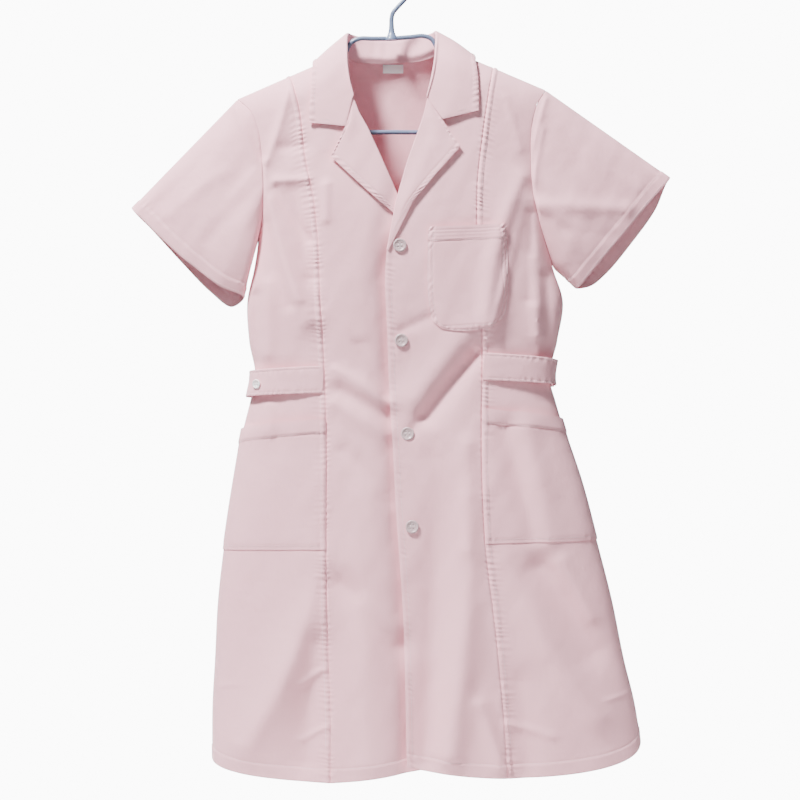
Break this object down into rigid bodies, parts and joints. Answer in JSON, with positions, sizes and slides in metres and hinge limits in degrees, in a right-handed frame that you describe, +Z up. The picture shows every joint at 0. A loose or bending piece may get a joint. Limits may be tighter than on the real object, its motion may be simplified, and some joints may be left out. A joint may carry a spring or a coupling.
{
  "type": "nurse uniform dress on a hanger",
  "caption": "Short-sleeved princess-line tunic dress with notched collar, patch pockets and waist tabs, hanging flat on a plastic hanger.",
  "frame": {"origin": "lowest point of the hook's inner curve that rests on a rail: the top inside of the hook, in the hanger's plane", "axes": "+Z up along the hanging dress, -Y the way its front faces, +X the wearer's left"},
  "size_m": [0.711, 0.1369, 1.0647],
  "materials": {
    "pink_twill": "matt poly-cotton twill, pale pink",
    "button_plastic": "moulded polyester, satin, pinkish grey",
    "hanger_plastic": "moulded plastic, satin, blue grey",
    "label_tape": "woven satin tape, white, blank"
  },
  "bodies": {
    "root": {"back": "pink_twill", "back_tab_left": "pink_twill", "back_tab_right": "pink_twill", "chest_pocket": "pink_twill", "collar": "pink_twill", "front_button_1": "button_plastic", "front_button_2": "button_plastic", "front_button_3": "button_plastic", "front_button_4": "button_plastic", "front_centre_left": "pink_twill", "front_centre_right": "pink_twill", "front_side_left": "pink_twill", "front_side_right": "pink_twill", "hanger": "hanger_plastic", "lapel_left": "pink_twill", "lapel_right": "pink_twill", "lower_pocket_left": "pink_twill", "lower_pocket_right": "pink_twill", "neck_label": "label_tape", "sleeve_left": "pink_twill", "sleeve_right": "pink_twill", "tab_button_left": "button_plastic", "tab_button_right": "button_plastic", "waist_tab_left": "pink_twill", "waist_tab_right": "pink_twill"}
  },
  "joints": []
}
